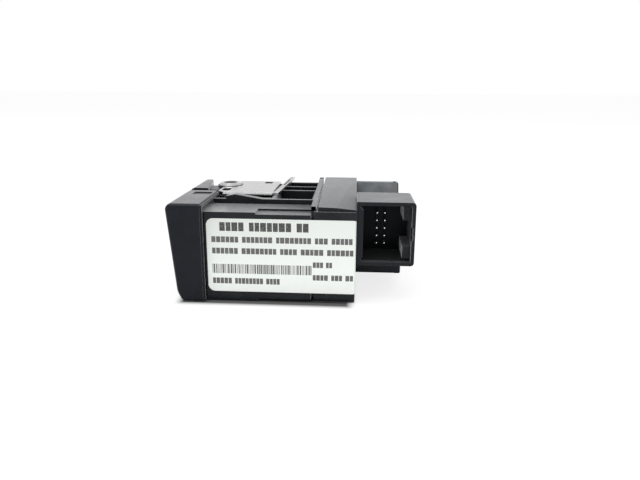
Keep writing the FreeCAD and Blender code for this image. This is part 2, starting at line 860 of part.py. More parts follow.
def make_control_chip():
    body = new_body("control_chip")
    pad(body, "Package", "XZ",
        rectangle(s.chip_start, s.chip_start + s.chip_size, s.chip_low, s.chip_low + s.chip_size),
        s.board_near - s.chip_height, s.board_near)
    place(body)
    return body


def make_circuit_board():
    body = new_body("circuit_board")
    low = inner_floor + s.board_edge_gap
    high = s.chamber_height - s.board_edge_gap
    pad(body, "Laminate", "XZ",
        polygon(
            (s.board_start, low),
            (board_step, low),
            (board_step, s.board_rear_low),
            (board_end, s.board_rear_low),
            (board_end, s.board_rear_high),
            (board_rise, s.board_rear_high),
            (board_rise, high),
            (s.board_start, high),
        ),
        s.board_near, board_far)
    half = s.pin_square / 2 + s.pin_hole_margin
    holes = []
    for column in range(PIN_COLUMNS):
        for level in range(PIN_ROWS):
            x = s.pin_column + column * s.pin_pitch
            z = s.pin_low + level * s.pin_pitch
            holes.append(rectangle(x - half, x + half, z - half, z + half))
    pocket(body, "PinHoles", "XZ", holes, s.board_near, board_far)
    place(body)
    return body


def make_contact_pins():
    pins = []
    for column in range(PIN_COLUMNS):
        for level in range(PIN_ROWS):
            number = column * PIN_ROWS + level + 1
            name = f"contact_pin_{number:02d}"
            body = new_body(name)
            half = s.pin_square / 2
            pad(body, f"Wire{number}", "XZ", rectangle(-half, half, -half, half),
                s.pin_tip, s.pin_tail)

            def tip_edges(shape):
                return face_edges(shape, "Y", SIZES["pin_tip"], lambda at: True)

            bevel_edges(body, f"Point{number}", s.pin_square / 4, tip_edges)
            place(body, s.pin_column + column * s.pin_pitch, 0.0, s.pin_low + level * s.pin_pitch)
            pins.append(body)
    return pins


def make_contact_slide():
    body = new_body("contact_slide")
    far = slide_near + s.slide_thickness
    start = s.slide_start
    pad(body, "Block", "XY", rectangle(start, start + s.slide_length, slide_near, far),
        s.slide_low, s.slide_low + s.slide_height)
    tongue_near = slide_near + (s.slide_thickness - s.slide_tongue_width) / 2
    pad(body, "Tongue", "XY",
        rectangle(start, start + s.slide_length, tongue_near, tongue_near + s.slide_tongue_width),
        s.slide_low - s.slide_tongue, s.slide_low + s.slide_height + s.slide_tongue)
    # Fork slot, open to the far side, that takes the arm's tip
    slot_half = s.tip_radius + s.fork_clearance
    pocket(body, "Fork", "XY",
           rectangle(s.tip_depth - slot_half, s.tip_depth + slot_half, far - s.fork_depth, far),
           s.arm_low - 1.0, s.arm_low + s.arm_height + 1.0)
    place(body)
    return body


def make_wipers():
    """Two sprung contact strips on the slide's board side."""
    wipers = []
    levels = (s.slide_low + 1.4, s.slide_low + s.slide_height - 1.4 - s.wiper_width)
    for number, level in enumerate(levels, start=1):
        body = new_body(f"wiper_contact_{number}")
        start = s.slide_start + 3.0
        end = start + s.wiper_length
        near = board_far + 0.1
        pad(body, f"Strip{number}", "XY",
            polygon(
                (start, slide_near),
                (start, slide_near - s.wiper_thickness),
                (end - 3.4, slide_near - s.wiper_thickness),
                (end - 1.6, near),
                (end - 0.4, near),
                (end, near + 0.3),
                (end, near + 0.6),
                (end - 0.6, near + s.wiper_thickness),
                (end - 1.4, near + s.wiper_thickness),
                (end - 3.2, slide_near),
            ),
            level, level + s.wiper_width)
        place(body)
        wipers.append(body)
    return wipers


def make_rear_cover():
    body = new_body("rear_cover")
    start = s.collar_start
    end = s.collar_end
    pad(body, "Collar", "YZ", rectangle(near_side, s.collar_far, 0, s.collar_height), start, end)

    def lower_corners(shape):
        return straight_edges(shape, "X", lambda at: close_to(at.z, 0))

    round_edges(body, "LowerCorners", s.collar_corner_round, lower_corners)

    def rear_corner(shape):
        return straight_edges(
            shape, "Z",
            lambda at: close_to(at.x, end) and close_to(at.y, near_side),
        )

    round_edges(body, "RearCorner", s.label_thickness * 4, rear_corner)
    pad(body, "TopPad", "XZ",
        polygon(
            (s.pad_start, s.collar_height),
            (end, s.collar_height),
            (end, s.pad_rear_height),
            (s.pad_middle, s.pad_middle_height),
            (s.pad_start, s.pad_front_height),
        ),
        s.pad_near, s.collar_far)
    pad(body, "FarFlange", "XY", rectangle(s.pad_start, end, s.collar_flange_near, s.collar_far),
        s.collar_height, s.flange_tip_height)
    pad(body, "BoardBox", "YZ",
        polygon(
            (s.box_near, s.box_low),
            (far_side, s.box_low),
            (far_side, s.box_fin_height),
            (far_side - s.box_fin_wall, s.box_fin_height),
            (far_side - s.box_fin_wall, s.box_rear_high),
            (s.box_step, s.box_rear_high),
            (s.box_step, s.box_high),
            (s.box_near, s.box_high),
        ),
        end, s.box_end)

    def box_rims(shape):
        return face_edges(
            shape, "X", SIZES["box_end"],
            lambda at: at.y > SIZES["box_near"] + 1,
        )

    round_edges(body, "BoxRims", s.box_round, box_rims)
    # The collar's mouth takes the housing's spigot
    wall = s.collar_wall
    pocket(body, "Mouth", "YZ",
           rectangle(near_side + wall, s.collar_flange_near, wall + 0.3, s.collar_height - wall),
           start, housing_end + s.spigot_length + 0.4)
    pocket(body, "Inside", "YZ",
           rectangle(near_side + wall + 1.5, s.collar_flange_near - 1.5, wall + 1.2,
                     s.collar_height - wall - 1.2),
           start, end - wall)
    # The board box is open to the collar and, for the connector's foot, to the near side
    box_wall = s.box_wall
    pocket(body, "BoxRoom", "YZ",
           polygon(
               (s.box_near + box_wall, s.box_low + box_wall),
               (far_side - s.box_fin_wall, s.box_low + box_wall),
               (far_side - s.box_fin_wall, s.box_rear_high - box_wall),
               (s.box_step - box_wall, s.box_rear_high - box_wall),
               (s.box_step - box_wall, s.box_high - box_wall + 0.9),
               (s.box_near + box_wall, s.box_high - box_wall + 0.9),
           ),
           end - wall, s.box_end - box_wall)
    pocket(body, "FootDoor", "XZ",
           rectangle(end, s.box_end, s.shroud_low - 0.2, s.box_high),
           s.box_near, s.board_near - 0.1)
    place(body)
    return body


def make_connector_header():
    body = new_body("connector_header")
    start = s.shroud_start
    end = s.shroud_end
    low = s.shroud_low
    high = s.shroud_high
    wall = s.shroud_wall
    pad(body, "Shell", "XZ", rectangle(start, end, low, high), s.shroud_near, s.shroud_back)

    def long_corners(shape):
        return straight_edges(shape, "Y", lambda at: close_to(at.x, end))

    round_edges(body, "LongCorners", s.shroud_corner_round, long_corners)
    margin = s.header_foot_margin
    pad(body, "Foot", "XZ",
        rectangle(start + 0.6, board_end, low + 0.4, s.board_rear_high - margin / 2 + 1.2),
        s.shroud_back, s.board_near)
    inner_left = start + s.shroud_left_wall
    pocket(body, "Socket", "XZ", rectangle(inner_left, end - wall, low + wall, high - wall),
           s.shroud_near, s.shroud_floor)
    # Round reliefs in the two corners beside the housing
    for number, level in enumerate((low + wall, high - wall), start=1):
        inside = s.relief_radius * (1 if number == 1 else -1)
        pocket(body, f"Relief{number}", "XZ",
               circle(inner_left, level + inside, s.relief_radius),
               s.shroud_near, s.shroud_floor)
    # Coding blocks on the outer wall, with the latch's notch between them
    key_x = end - wall - s.key_depth
    lower_key = low + wall + s.key_margin
    upper_key = high - wall - s.key_margin - s.key_height
    for number, level in enumerate((lower_key, upper_key), start=1):
        pad(body, f"Key{number}", "XZ",
            rectangle(key_x, end - wall, level, level + s.key_height),
            s.shroud_near + s.key_setback, s.shroud_floor)
    middle = (low + high) / 2
    pocket(body, "LatchNotch", "XZ",
           rectangle(end - wall - 0.1, end - wall + s.notch_depth,
                     middle - s.notch_height / 2, middle + s.notch_height / 2),
           s.shroud_near, s.shroud_near + 4.0)
    half = s.pin_square / 2
    holes = []
    for column in range(PIN_COLUMNS):
        for row_number in range(PIN_ROWS):
            x = s.pin_column + column * s.pin_pitch
            z = s.pin_low + row_number * s.pin_pitch
            holes.append(rectangle(x - half, x + half, z - half, z + half))
    pocket(body, "PinHoles", "XZ", holes, s.shroud_floor, s.board_near)
    place(body)
    return body


def make_retaining_clip():
    body = new_body("retaining_clip")
    start = s.clip_start
    end = s.clip_bay_end + 0.3
    pad(body, "Plate", "XY", rectangle(start, end, s.clip_near, s.clip_far), clip_low, clip_high)
    pad(body, "Lip", "YZ",
        polygon(
            (s.clip_near, clip_high),
            (s.clip_near, clip_low),
            (s.clip_near - s.clip_thickness, clip_low - s.clip_lip_drop),
            (s.clip_near - 2 * s.clip_thickness, clip_low - s.clip_lip_drop),
            (s.clip_near - s.clip_thickness / 2, clip_high),
        ),
        s.clip_bay_start + 0.2, s.clip_bay_end - 0.4)
    tongue_start = end + s.tongue_gap
    tongue_end = tongue_start + s.tongue_width
    pad(body, "Bridge", "XY",
        rectangle(end, tongue_end, s.tongue_root, s.tongue_root + s.tongue_bridge),
        clip_low, clip_high)
    rise_start = s.tongue_root + s.tongue_bridge
    pad(body, "Tongue", "YZ",
        polygon(
            (rise_start, clip_low),
            (s.tongue_tip - 4.0, clip_low + s.tongue_rise),
            (s.tongue_tip, clip_low + s.tongue_rise - 0.6),
            (s.tongue_tip, clip_high + s.tongue_rise - 0.6),
            (s.tongue_tip - 4.0, clip_high + s.tongue_rise),
            (rise_start, clip_high),
        ),
        tongue_start, tongue_end)
    pocket(body, "BossCutout", "XY",
           circle(pivot_x, s.pivot_across, s.boss_radius + s.clip_boss_gap), clip_low, clip_high)
    slot_end = s.clip_slot_start + s.clip_slot_length
    pocket(body, "Slot", "XY",
           rectangle(s.clip_slot_start, slot_end, s.clip_slot_near,
                     s.clip_slot_near + s.clip_slot_width),
           clip_low, clip_high)
    pocket(body, "Eye", "XY",
           rectangle(start + 0.9, start + 0.9 + s.clip_eye_width,
                     s.clip_eye_near, s.clip_eye_near + s.clip_eye_length),
           clip_low, clip_high)
    place(body)
    return body


def make_label():
    """A paper sticker over the housing and the collar, turned round the collar's rear corner."""
    body = new_body("label")
    outer = s.collar_end + s.label_thickness
    pad(body, "Sheet", "XY",
        polygon(
            (s.label_start, near_side),
            (s.label_start, label_near),
            (outer, label_near),
            (outer, near_side + s.label_wrap),
            (s.collar_end, near_side + s.label_wrap),
            (s.collar_end, near_side),
        ),
        s.label_low, s.label_high)

    def inner_bend(shape):
        return straight_edges(
            shape, "Z",
            lambda at: close_to(at.x, s.collar_end) and close_to(at.y, near_side),
        )

    def outer_bend(shape):
        return straight_edges(
            shape, "Z",
            lambda at: close_to(at.x, outer) and close_to(at.y, label_near),
        )

    def left_corners(shape):
        return straight_edges(shape, "Y", lambda at: close_to(at.x, s.label_start))

    round_edges(body, "InnerBend", s.label_thickness * 4, inner_bend)
    round_edges(body, "OuterBend", s.label_thickness * 5, outer_bend)
    round_edges(body, "Corners", s.label_corner_round, left_corners)
    place(body)
    return body


pieces = [
    make_front_trim(),
    make_main_housing(),
    make_pivot_pin(),
    make_return_spring(),
    make_pull_lever(),
    make_symbol_lens(),
    make_telltale_lens(),
    make_light_guide(),
    make_indicator_led(),
    make_control_chip(),
    make_circuit_board(),
    make_contact_slide(),
    make_rear_cover(),
    make_connector_header(),
    make_retaining_clip(),
    make_label(),
]
pieces += make_contact_pins()
pieces += make_wipers()
doc.recompute()

for item in doc.Objects:
    if "Invalid" in item.State or "Error" in item.State:
        raise RuntimeError(f"{item.Label} could not be built")
    if item.TypeId == "PartDesign::Pocket" and item.BaseFeature is not None:
        if item.Shape.Volume > item.BaseFeature.Shape.Volume - 1e-4:
            raise RuntimeError(f"{item.Label} cuts nothing")
for piece in pieces:
    if piece.Shape.isNull() or not piece.Shape.isValid():
        raise RuntimeError(f"{piece.Label} has no valid shape")

os.makedirs("parts", exist_ok=True)
for piece in pieces:
    piece.Shape.exportStep(f"parts/{piece.Label}.step")
    print(f"{piece.Label}: {piece.Shape.Volume:.1f} mm3 in {len(piece.Shape.Solids)} solid")
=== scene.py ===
import math
import random

import bmesh
import bpy
from mathutils import Matrix, Vector
from mathutils.geometry import tessellate_polygon


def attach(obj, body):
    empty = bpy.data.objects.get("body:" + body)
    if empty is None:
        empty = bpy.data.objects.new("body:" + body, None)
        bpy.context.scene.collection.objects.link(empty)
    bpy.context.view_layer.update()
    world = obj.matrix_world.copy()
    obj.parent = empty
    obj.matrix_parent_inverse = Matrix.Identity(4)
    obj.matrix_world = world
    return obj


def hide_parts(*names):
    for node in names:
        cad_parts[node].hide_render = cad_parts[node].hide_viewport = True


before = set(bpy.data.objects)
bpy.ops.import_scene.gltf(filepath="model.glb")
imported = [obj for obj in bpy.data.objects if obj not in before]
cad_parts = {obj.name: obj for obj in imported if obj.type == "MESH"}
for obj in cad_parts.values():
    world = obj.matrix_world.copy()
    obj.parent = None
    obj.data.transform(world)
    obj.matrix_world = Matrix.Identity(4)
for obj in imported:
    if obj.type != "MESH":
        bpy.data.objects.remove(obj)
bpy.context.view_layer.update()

# Places below are in millimetres from the trim's near rear edge: x towards the connector, y away
# from the labelled side, z up from the floor. The frame's own origin lies at (ROW_X, ROW_Y).
ROW_X = 27.8154
ROW_Y = 24.5
MM = 0.001


def at(x, y, z):
    """A place in millimetres as a point of the shared frame, in metres."""
    return Vector(((x - ROW_X) * MM, (y - ROW_Y) * MM, z * MM))


# ---------------------------------------------------------------- camera
CAMERA_PLACE = (47.6, -171.0, 67.1)
YAW, PITCH, ROLL = (math.radians(angle) for angle in (-3.44, 14.9, 0.35))
SENSOR_WIDTH = 36.0
FOCAL_LENGTH = 32.456  # 577 pixels in a picture 640 pixels wide


def make_camera():
    yaw, pitch, roll = YAW, PITCH, ROLL
    forward = Vector((math.sin(yaw) * math.cos(pitch), math.cos(yaw) * math.cos(pitch), -math.sin(pitch)))
    level = Vector((math.cos(yaw), -math.sin(yaw), 0.0))
    upright = level.cross(forward)
    right = level * math.cos(roll) + upright * math.sin(roll)
    up = upright * math.cos(roll) - level * math.sin(roll)
    data = bpy.data.cameras.new("Camera")
    data.lens = FOCAL_LENGTH
    data.sensor_width = SENSOR_WIDTH
    data.clip_start = 0.01
    data.clip_end = 50.0
    camera = bpy.data.objects.new("Camera", data)
    turn = Matrix((right, up, -forward)).transposed().to_4x4()
    camera.matrix_world = Matrix.Translation(at(*CAMERA_PLACE)) @ turn
    bpy.context.scene.collection.objects.link(camera)
    bpy.context.scene.camera = camera


# ------------------------------------------------------------- materials
def node(tree, kind, inputs=None, **settings):
    """Adds a shader node; an input is a number, a colour, or another node's output."""
    made = tree.nodes.new("ShaderNode" + kind)
    for key, value in settings.items():
        setattr(made, key, value)
    for key, value in (inputs or {}).items():
        socket = made.inputs[key]
        if isinstance(value, bpy.types.NodeSocket):
            tree.links.new(value, socket)
        else:
            socket.default_value = value
    return made


def blend_colour(tree, share, first, second):
    """Mixes two colours: the first at share nought, the second at one."""
    mix = tree.nodes.new("ShaderNodeMix")
    mix.data_type = "RGBA"
    for index, value in ((0, share), (6, first), (7, second)):
        if isinstance(value, bpy.types.NodeSocket):
            tree.links.new(value, mix.inputs[index])
        else:
            mix.inputs[index].default_value = value
    return mix.outputs[2]


def stretch(tree, value, low, high, new_low=0.0, new_high=1.0):
    """Maps the range from low to high onto the new one, and holds it there."""
    made = node(tree, "MapRange", {
        "Value": value, "From Min": low, "From Max": high, "To Min": new_low, "To Max": new_high,
    })
    return made.outputs["Result"]


def calculate(tree, operation, first, second=0.0):
    return node(tree, "Math", {0: first, 1: second}, operation=operation).outputs[0]


def new_material(name):
    material = bpy.data.materials.new(name)
    material.use_nodes = True
    tree = material.node_tree
    return material, tree, tree.nodes["Principled BSDF"]


def millimetres(tree, scale=(1.0, 1.0, 1.0)):
    """The object's own coordinates, in millimetres, stretched along each axis."""
    place = node(tree, "TexCoord").outputs["Object"]
    return node(tree, "Mapping", {"Vector": place, "Scale": [1000.0 * s for s in scale]}).outputs[0]


def noise(tree, place, scale, detail=3.0, roughness=0.55):
    return node(tree, "TexNoise", {
        "Vector": place, "Scale": scale, "Detail": detail, "Roughness": roughness,
    }).outputs["Fac"]


def grey(level, tint=(1.0, 1.0, 1.0)):
    return (level * tint[0], level * tint[1], level * tint[2], 1.0)


def plastic(name, dark, light, roughness, grain, edge=0.15, specular=0.16, dust=0.25, sheen=0.55,
            tint=(0.97, 0.98, 1.0), ledge=0.0):
    """Moulded plastic: slow clouding, fine grain, pale dust on what faces up, polished edges.

    With a ledge tone, what faces up near the labelled side and the trim is painted paler as a painted
    highlight.
    """
    material, tree, shader = new_material(name)
    place = millimetres(tree)
    cloud = noise(tree, place, 0.16, 4.0)
    fine = noise(tree, place, 5.5, 3.0, 0.6)
    speck = noise(tree, place, 2.4, 2.0, 0.7)
    soft = node(tree, "Bevel", {"Radius": edge * MM}, samples=6).outputs["Normal"]
    flat = node(tree, "NewGeometry").outputs["Normal"]
    facing = node(tree, "VectorMath", {0: soft, 1: flat}, operation="DOT_PRODUCT").outputs["Value"]
    worn = stretch(tree, facing, 0.995, 0.85)
    upward = node(tree, "SeparateXYZ", {0: flat}).outputs["Z"]
    lying = stretch(tree, upward, 0.4, 0.95)
    tone = blend_colour(tree, stretch(tree, cloud, 0.35, 0.68), dark, light)
    worn_tone = blend_colour(tree, calculate(tree, "MULTIPLY", worn, 0.35), tone, grey(0.09))
    dusty = calculate(tree, "MULTIPLY", stretch(tree, speck, 0.58, 0.72), lying)
    final = blend_colour(tree, calculate(tree, "MULTIPLY", dusty, dust), worn_tone, grey(0.3))
    # painted highlight: what faces up near the labelled side and the trim is blended towards a paler grey
    if ledge > 0:
        spot = node(tree, "SeparateXYZ", {0: place}).outputs
        inward = stretch(tree, spot["Y"], 15.6 - ROW_Y, 15.2 - ROW_Y)
        ledge_highlight_mask = calculate(tree, "MULTIPLY", inward, stretch(tree, spot["X"], 26.0 - ROW_X, 6.0 - ROW_X))
        final = blend_colour(tree, calculate(tree, "MULTIPLY", ledge_highlight_mask, lying), final, grey(ledge))
    tree.links.new(final, shader.inputs["Base Color"])
    shine = stretch(tree, cloud, 0.3, 0.7, roughness - 0.05, roughness + 0.06)
    tree.links.new(calculate(tree, "SUBTRACT", shine, calculate(tree, "MULTIPLY", worn, 0.08)),
                   shader.inputs["Roughness"])
    height = calculate(tree, "ADD", fine, calculate(tree, "MULTIPLY", cloud, 1.5))
    bump = node(tree, "Bump", {
        "Strength": grain, "Distance": 0.00003, "Height": height, "Normal": soft,
    })
    tree.links.new(bump.outputs["Normal"], shader.inputs["Normal"])
    shader.inputs["Specular IOR Level"].default_value = specular
    shader.inputs["Specular Tint"].default_value = grey(1.0, (tint[0] * 0.9, tint[1] * 0.96, 1.0))
    shader.inputs["Sheen Weight"].default_value = sheen
    shader.inputs["Sheen Roughness"].default_value = 0.32
    shader.inputs["Sheen Tint"].default_value = grey(1.0, tint)
    return material


def metal(name, tone, roughness, scale, edge=0.08, stain=(0.4, 0.38, 0.36, 1.0)):
    """Rolled or drawn metal: fine lines along one way, small stains and bright edges."""
    material, tree, shader = new_material(name)
    lines = noise(tree, millimetres(tree, scale), 1.0, 4.0, 0.7)
    cloud = noise(tree, millimetres(tree), 0.5, 4.0)
    spots = stretch(tree, noise(tree, millimetres(tree), 1.7, 3.0, 0.7), 0.62, 0.8)
    soft = node(tree, "Bevel", {"Radius": edge * MM}, samples=6).outputs["Normal"]
    shade = blend_colour(tree, stretch(tree, cloud, 0.3, 0.7), grey(tone * 0.86), grey(tone, (1, 1, 1.01)))
    final = blend_colour(tree, calculate(tree, "MULTIPLY", spots, 0.35), shade, stain)
    tree.links.new(final, shader.inputs["Base Color"])
    tree.links.new(stretch(tree, lines, 0.3, 0.7, roughness - 0.06, roughness + 0.1),
                   shader.inputs["Roughness"])
    bump = node(tree, "Bump", {
        "Strength": 0.25, "Distance": 0.00001, "Height": lines, "Normal": soft,
    })
    tree.links.new(bump.outputs["Normal"], shader.inputs["Normal"])
    shader.inputs["Metallic"].default_value = 1.0
    return material


def paper(name):
    """Coated label stock: faint fibres, slow waves where it isn't pressed flat, a little grime, and painted
    shade darker towards the top and the left.
    """
    material, tree, shader = new_material(name)
    place = millimetres(tree)
    fibre = noise(tree, millimetres(tree, (3.0, 3.0, 9.0)), 1.0, 4.0, 0.65)
    wave = noise(tree, place, 0.14, 2.0, 0.4)
    grime = stretch(tree, noise(tree, place, 0.35, 5.0, 0.7), 0.55, 0.85)
    tone = blend_colour(tree, stretch(tree, fibre, 0.3, 0.7),
                        (0.80, 0.84, 0.805, 1), (0.85, 0.89, 0.855, 1))
    spot = node(tree, "SeparateXYZ", {0: place}).outputs
    # painted shade: the paper is greyed towards its top and its left end
    painted_shade = calculate(tree, "MULTIPLY", stretch(tree, spot["Z"], 10.0, 27.0),
                        stretch(tree, spot["X"], 40.0 - ROW_X, 3.0 - ROW_X, 0.48, 0.8))
    shaded_tone = blend_colour(tree, painted_shade, tone, (0.60, 0.63, 0.60, 1))
    final = blend_colour(tree, calculate(tree, "MULTIPLY", grime, 0.18), shaded_tone, (0.62, 0.62, 0.57, 1))
    tree.links.new(final, shader.inputs["Base Color"])
    height = calculate(tree, "ADD", calculate(tree, "MULTIPLY", fibre, 0.25),
                       calculate(tree, "MULTIPLY", wave, 3.0))
    bump = node(tree, "Bump", {"Strength": 0.25, "Distance": 0.00005, "Height": height})
    tree.links.new(bump.outputs["Normal"], shader.inputs["Normal"])
    shader.inputs["Roughness"].default_value = 0.55
    shader.inputs["Specular IOR Level"].default_value = 0.3
    return material


def ink(name, tone):
    """Thermal print: not quite black, with small gaps where the paper shows."""
    material, tree, shader = new_material(name)
    gaps = stretch(tree, noise(tree, millimetres(tree), 7.0, 2.0, 0.6), 0.55, 0.78)
    final = blend_colour(tree, gaps, grey(tone, (1, 0.97, 0.95)), grey(0.45))
    tree.links.new(final, shader.inputs["Base Color"])
    shader.inputs["Roughness"].default_value = 0.6
    return material


def clear(name, tone, weight, roughness):
    """Tinted lens plastic with a faint moulded haze."""
    material, tree, shader = new_material(name)
    haze = noise(tree, millimetres(tree), 1.1, 3.0)
    low = tuple(c * 0.8 for c in tone[:3]) + (1.0,)
    tree.links.new(blend_colour(tree, haze, low, tone), shader.inputs["Base Color"])
    tree.links.new(stretch(tree, haze, 0.3, 0.7, roughness, roughness + 0.1), shader.inputs["Roughness"])
    shader.inputs["Transmission Weight"].default_value = weight
    return material


def laminate(name):
    """Green solder mask over woven glass, with tracks that show through."""
    material, tree, shader = new_material(name)
    place = millimetres(tree)
    weave = node(tree, "TexWave", {"Vector": place, "Scale": 1.2, "Distortion": 2.0}).outputs["Fac"]
    tracks = stretch(tree, noise(tree, millimetres(tree, (0.5, 2.0, 2.0)), 1.0, 1.0), 0.52, 0.54)
    tone = blend_colour(tree, tracks, (0.02, 0.14, 0.06, 1), (0.03, 0.24, 0.1, 1))
    tree.links.new(blend_colour(tree, calculate(tree, "MULTIPLY", weave, 0.15), tone, (0.1, 0.3, 0.16, 1)),
                   shader.inputs["Base Color"])
    bump = node(tree, "Bump", {"Strength": 0.3, "Distance": 0.00003, "Height": tracks})
    tree.links.new(bump.outputs["Normal"], shader.inputs["Normal"])
    shader.inputs["Roughness"].default_value = 0.3
    return material


COOL = (0.9, 1, 1.1)
BLUE = (0.9, 1, 1.2)
DEEP_BLUE = (0.85, 1, 1.5)
PALE = (0.94, 1, 1.06)
BLACK = {
    # the housing's ledge tone is a painted highlight
    "housing": plastic("HousingPlastic", grey(0.009, COOL), grey(0.015, COOL), 0.26, 0.35,
                       sheen=0.95, ledge=0.13),
    "trim": plastic("TrimPlastic", grey(0.005, DEEP_BLUE), grey(0.008, DEEP_BLUE), 0.28, 0.30,
                    edge=0.3, sheen=0.63, tint=(0.97, 0.96, 1.0)),
    "connector": plastic("ConnectorPlastic", grey(0.007, BLUE), grey(0.011, BLUE), 0.28, 0.40),
    # painted shade: dark, dull plastic for the liner that darkens the socket's walls
    "socket_shade": plastic("SocketShadePlastic", grey(0.003, BLUE), grey(0.006, BLUE), 0.34, 0.40,
                    specular=0.08, dust=0.1, sheen=0.16),
    # painted light: a paler copy of the black plastic, for the ridge's slope and the cover strip
    "ridge": plastic("RidgePaintedLightPlastic", grey(0.1, PALE), grey(0.17, PALE), 0.4, 0.40),
}
INNER = plastic("InnerPlastic", grey(0.62, (1, 0.98, 0.93)), grey(0.72, (1, 0.98, 0.93)), 0.42, 0.3)
CHIP = plastic("ChipResin", grey(0.018), grey(0.028), 0.5, 0.5)
STEEL = metal("SpringSteel", 0.55, 0.24, (0.5, 14.0, 14.0))
# painted shade: near-black steel for the pin head in the eyelet's bore and for the pieces that darken the
# bore and the rim's foot
BORE_SHADE_STEEL = metal("BoreShadeSteel", 0.06, 0.3, (6.0, 6.0, 0.6), stain=(0.03, 0.028, 0.025, 1))
TIN = metal("PinMetal", 0.86, 0.18, (8.0, 0.6, 8.0), edge=0.05)
BRONZE = metal("ContactBronze", 0.7, 0.26, (0.6, 10.0, 10.0), stain=(0.5, 0.3, 0.15, 1))
PAPER = paper("LabelPaper")
INK = ink("LabelInk", 0.035)
THIN_INK = ink("LabelThinInk", 0.09)
LENS = clear("LensClear", (0.85, 0.87, 0.88, 1), 0.25, 0.2)
GUIDE = clear("LightGuide", (0.9, 0.92, 0.92, 1), 0.85, 0.05)
RED = clear("LensRed", (0.5, 0.03, 0.025, 1), 0.35, 0.12)
BOARD = laminate("BoardLaminate")

FINISH = {
    "front_trim": BLACK["trim"],
    "pull_lever": BLACK["trim"],
    "main_housing": BLACK["housing"],
    "rear_cover": BLACK["housing"],
    "connector_header": BLACK["connector"],
    "pivot_pin": BORE_SHADE_STEEL,
    "return_spring": STEEL,
    "retaining_clip": STEEL,
    "contact_slide": INNER,
    "wiper_contact_1": BRONZE,
    "wiper_contact_2": BRONZE,
    "circuit_board": BOARD,
    "control_chip": CHIP,
    "indicator_led": LENS,
    "light_guide": GUIDE,
    "symbol_lens": LENS,
    "telltale_lens": RED,
    "label": PAPER,
}


def finish_nodes():
    """Gives every solid its material; the pins share one."""
    for name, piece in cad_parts.items():
        material = FINISH.get(name, TIN if name.startswith("contact_pin") else BLACK["housing"])
        piece.data.materials.clear()
        piece.data.materials.append(material)


# -------------------------------------------------------- moulded forms
# Each axis turns a place (u, v) in its plane and a level along it into (x, y, z)
PLANES = {
    "X": lambda u, v, level: (level, u, v),
    "Y": lambda u, v, level: (u, level, v),
    "Z": lambda u, v, level: (u, v, level),
}


def rounded(corners, steps=5):
    """Rounds a closed outline whose corners are given as (u, v, radius)."""
    ring = [(Vector((u, v)), radius) for u, v, radius in corners]
    points = []
    for (before, _), (corner, radius), (after, _) in zip(ring[-1:] + ring[:-1], ring, ring[1:] + ring[:1]):
        if radius == 0:
            points.append(tuple(corner))
            continue
        back = (before - corner).normalized()
        ahead = (after - corner).normalized()
        half = back.angle(ahead) / 2
        centre = corner + (back + ahead).normalized() * (radius / math.sin(half))
        first = corner + back * (radius / math.tan(half)) - centre
        last = corner + ahead * (radius / math.tan(half)) - centre
        for k in range(steps + 1):
            points.append(tuple(centre + first.lerp(last, k / steps).normalized() * radius))
    return points


def ring_of(centre, radius, count=40):
    turns = [2 * math.pi * k / count for k in range(count)]
    return [(centre[0] + radius * math.cos(turn), centre[1] + radius * math.sin(turn)) for turn in turns]


def box_ring(u_low, u_high, v_low, v_high):
    return [(u_low, v_low), (u_high, v_low), (u_high, v_high), (u_low, v_high)]


def clean(mesh):
    """Joins doubled corners, drops the cuts across flat faces and turns every face outwards."""
    shape = bmesh.new()
    shape.from_mesh(mesh)
    bmesh.ops.remove_doubles(shape, verts=shape.verts, dist=1e-7)
    bmesh.ops.dissolve_limit(shape, angle_limit=math.radians(0.4), verts=shape.verts, edges=shape.edges)
    bmesh.ops.recalc_face_normals(shape, faces=shape.faces)
    shape.to_mesh(mesh)
    shape.free()


def solid(axis, low, high, rings, far_rings=None):
    """A prism between two levels of an axis, with holes; other rings at the far level make it taper."""
    spot = PLANES[axis]
    first = [at(*spot(u, v, low)) for ring in rings for u, v in ring]
    last = [at(*spot(u, v, high)) for ring in far_rings or rings for u, v in ring]
    count = len(first)
    faces = []
    for face in tessellate_polygon([[Vector((u, v, 0)) for u, v in ring] for ring in rings]):
        faces += [tuple(face), tuple(index + count for index in reversed(face))]
    start = 0
    for ring in rings:
        for k in range(len(ring)):
            here, there = start + k, start + (k + 1) % len(ring)
            faces.append((here, there, there + count, here + count))
        start += len(ring)
    mesh = bpy.data.meshes.new("Solid")
    mesh.from_pydata([tuple(v) for v in first + last], [], faces)
    clean(mesh)
    made = bpy.data.objects.new("Solid", mesh)
    bpy.context.scene.collection.objects.link(made)
    return made


def combine(made, tool, operation):
    change = made.modifiers.new("Change", "BOOLEAN")
    change.operation = operation
    change.object = tool
    change.solver = "EXACT"
    graph = bpy.context.evaluated_depsgraph_get()
    mesh = bpy.data.meshes.new_from_object(made.evaluated_get(graph))
    made.modifiers.clear()
    made.data = mesh
    bpy.data.objects.remove(tool)


def cut(made, tool):
    combine(made, tool, "DIFFERENCE")


def join(made, tool):
    combine(made, tool, "UNION")


def close(value, level):
    return abs(value - level) < 0.02


def round_rims(made, radius, chosen, segments=3):
    """Rounds the sharp edges whose middle, in millimetres, is chosen."""
    shape = bmesh.new()
    shape.from_mesh(made.data)
    edges = []
    for edge in shape.edges:
        middle = (edge.verts[0].co + edge.verts[1].co) / (2 * MM)
        is_sharp = edge.calc_face_angle(0.0) > 0.6
        if is_sharp and chosen(middle.x + ROW_X, middle.y + ROW_Y, middle.z):
            edges.append(edge)
    bmesh.ops.bevel(shape, geom=edges, offset=radius * MM, segments=segments, profile=0.5,
                    affect="EDGES", clamp_overlap=True)
    shape.to_mesh(made.data)
    shape.free()


